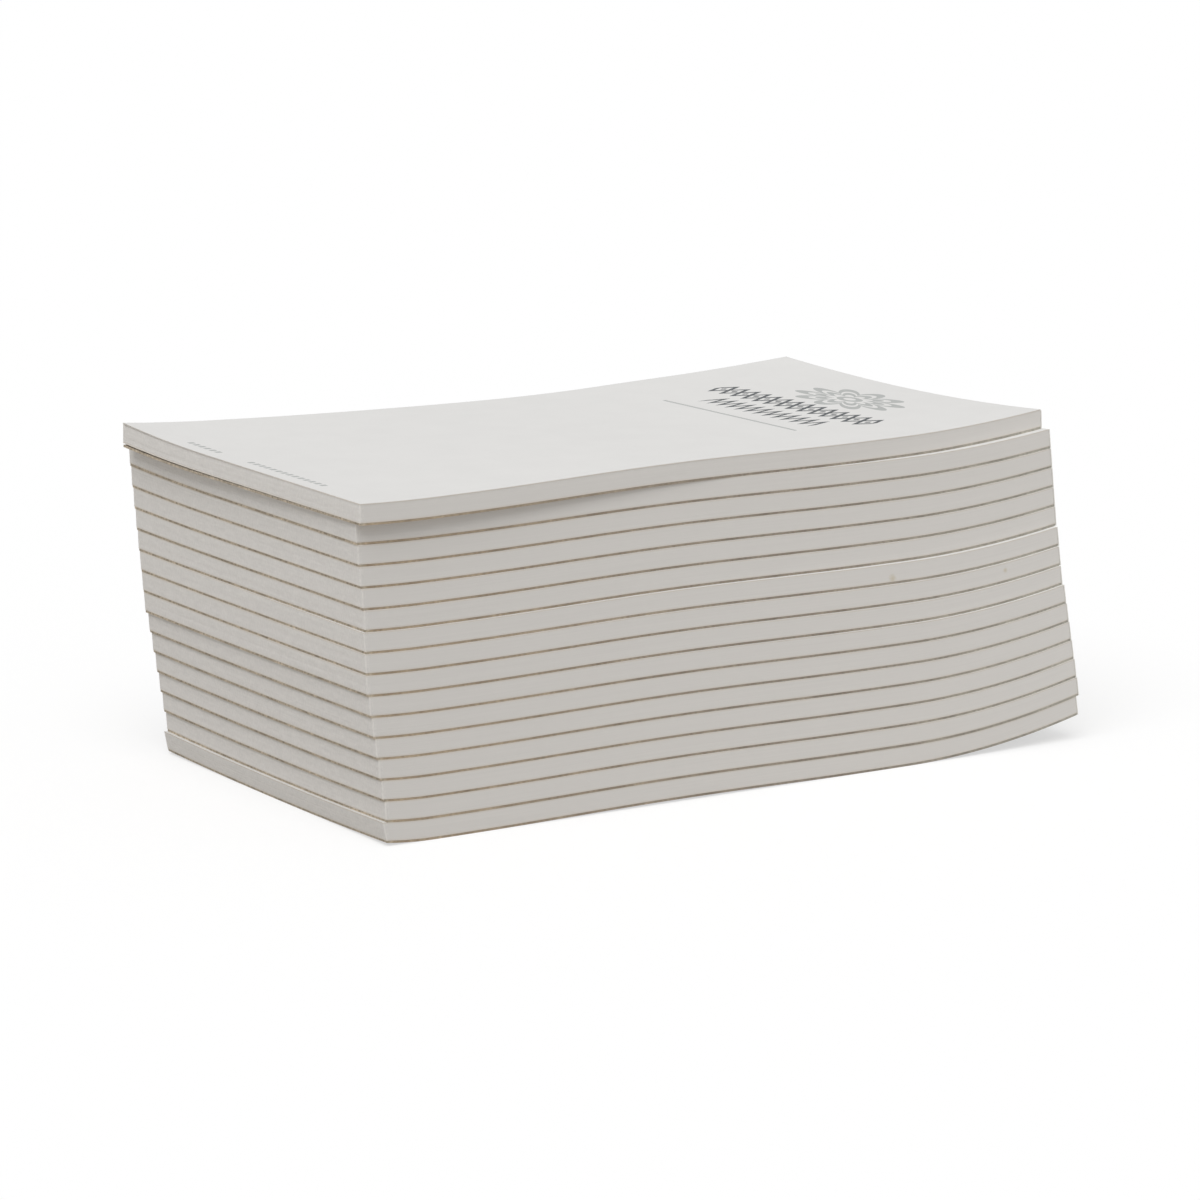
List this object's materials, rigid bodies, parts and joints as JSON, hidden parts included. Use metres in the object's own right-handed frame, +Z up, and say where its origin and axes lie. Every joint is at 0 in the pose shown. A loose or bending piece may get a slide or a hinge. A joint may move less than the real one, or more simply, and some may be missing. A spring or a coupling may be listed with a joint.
{
  "type": "waiter pad stack",
  "caption": "Stack of long tear-off order pads, each a paper block on greyboard glued at the head end, curling at that end; the sheets turn over and every pad lifts off.",
  "frame": {"origin": "on the table, under the middle of the stack's outline", "axes": "+X along the pads towards the glued head end, +Y across them, +Z up"},
  "size_m": [0.2136, 0.108, 0.083],
  "materials": {
    "paper": "matte",
    "printed_paper": "matte",
    "greyboard": "matte",
    "padding_compound": "satin"
  },
  "bodies": {
    "pad_01": {"pad_01_board": "greyboard", "pad_01_sheets": "paper", "pad_01_glue": "padding_compound"},
    "pad_02": {"pad_02_board": "greyboard", "pad_02_sheets": "paper", "pad_02_glue": "padding_compound"},
    "pad_03": {"pad_03_board": "greyboard", "pad_03_sheets": "paper", "pad_03_glue": "padding_compound"},
    "pad_04": {"pad_04_board": "greyboard", "pad_04_sheets": "paper", "pad_04_glue": "padding_compound"},
    "pad_05": {"pad_05_board": "greyboard", "pad_05_sheets": "paper", "pad_05_glue": "padding_compound"},
    "pad_06": {"pad_06_board": "greyboard", "pad_06_sheets": "paper", "pad_06_glue": "padding_compound"},
    "pad_07": {"pad_07_board": "greyboard", "pad_07_sheets": "paper", "pad_07_glue": "padding_compound"},
    "pad_08": {"pad_08_board": "greyboard", "pad_08_sheets": "paper", "pad_08_glue": "padding_compound"},
    "pad_09": {"pad_09_board": "greyboard", "pad_09_sheets": "paper", "pad_09_glue": "padding_compound"},
    "pad_10": {"pad_10_board": "greyboard", "pad_10_sheets": "paper", "pad_10_glue": "padding_compound"},
    "pad_11": {"pad_11_board": "greyboard", "pad_11_sheets": "paper", "pad_11_glue": "padding_compound"},
    "pad_12": {"pad_12_board": "greyboard", "pad_12_sheets": "paper", "pad_12_glue": "padding_compound"},
    "pad_13": {"pad_13_board": "greyboard", "pad_13_sheets": "paper", "pad_13_glue": "padding_compound"},
    "pad_14": {"pad_14_board": "greyboard", "pad_14_sheets": "paper", "pad_14_glue": "padding_compound"},
    "pad_15": {"pad_15_board": "greyboard", "pad_15_sheets": "paper", "pad_15_glue": "padding_compound"},
    "pad_16": {"pad_16_board": "greyboard", "pad_16_sheets": "paper", "pad_16_glue": "padding_compound"},
    "third_leaf": {"third_sheet": "paper"},
    "second_leaf": {"second_sheet": "paper"},
    "top_leaf": {"top_sheet": "printed_paper"}
  },
  "joints": [
    {"name": "pad_02_lift", "type": "slide", "parent": "pad_01", "child": "pad_02", "axis": [0, 0, 1], "range_m": [0, 0.02]},
    {"name": "pad_03_lift", "type": "slide", "parent": "pad_02", "child": "pad_03", "axis": [0, 0, 1], "range_m": [0, 0.02]},
    {"name": "pad_04_lift", "type": "slide", "parent": "pad_03", "child": "pad_04", "axis": [0, 0, 1], "range_m": [0, 0.02]},
    {"name": "pad_05_lift", "type": "slide", "parent": "pad_04", "child": "pad_05", "axis": [0, 0, 1], "range_m": [0, 0.02]},
    {"name": "pad_06_lift", "type": "slide", "parent": "pad_05", "child": "pad_06", "axis": [0, 0, 1], "range_m": [0, 0.02]},
    {"name": "pad_07_lift", "type": "slide", "parent": "pad_06", "child": "pad_07", "axis": [0, 0, 1], "range_m": [0, 0.02]},
    {"name": "pad_08_lift", "type": "slide", "parent": "pad_07", "child": "pad_08", "axis": [0, 0, 1], "range_m": [0, 0.02]},
    {"name": "pad_09_lift", "type": "slide", "parent": "pad_08", "child": "pad_09", "axis": [0, 0, 1], "range_m": [0, 0.02]},
    {"name": "pad_10_lift", "type": "slide", "parent": "pad_09", "child": "pad_10", "axis": [0, 0, 1], "range_m": [0, 0.02]},
    {"name": "pad_11_lift", "type": "slide", "parent": "pad_10", "child": "pad_11", "axis": [0, 0, 1], "range_m": [0, 0.02]},
    {"name": "pad_12_lift", "type": "slide", "parent": "pad_11", "child": "pad_12", "axis": [0, 0, 1], "range_m": [0, 0.02]},
    {"name": "pad_13_lift", "type": "slide", "parent": "pad_12", "child": "pad_13", "axis": [0, 0, 1], "range_m": [0, 0.02]},
    {"name": "pad_14_lift", "type": "slide", "parent": "pad_13", "child": "pad_14", "axis": [0, 0, 1], "range_m": [0, 0.02]},
    {"name": "pad_15_lift", "type": "slide", "parent": "pad_14", "child": "pad_15", "axis": [0, 0, 1], "range_m": [0, 0.02]},
    {"name": "pad_16_lift", "type": "slide", "parent": "pad_15", "child": "pad_16", "axis": [0, 0, 1], "range_m": [0, 0.02]},
    {"name": "third_sheet_turn", "type": "hinge", "parent": "pad_16", "child": "third_leaf", "pos_m": [0.09481, 0.00398, 0.0826], "axis": [-0.034, 0.9994, 0], "range_deg": [0, 20]},
    {"name": "second_sheet_turn", "type": "hinge", "parent": "third_leaf", "child": "second_leaf", "pos_m": [0.09481, 0.00398, 0.0826], "axis": [-0.034, 0.9994, 0], "range_deg": [0, 30]},
    {"name": "top_sheet_turn", "type": "hinge", "parent": "second_leaf", "child": "top_leaf", "pos_m": [0.09481, 0.00398, 0.0826], "axis": [-0.034, 0.9994, 0], "range_deg": [0, 120]}
  ]
}
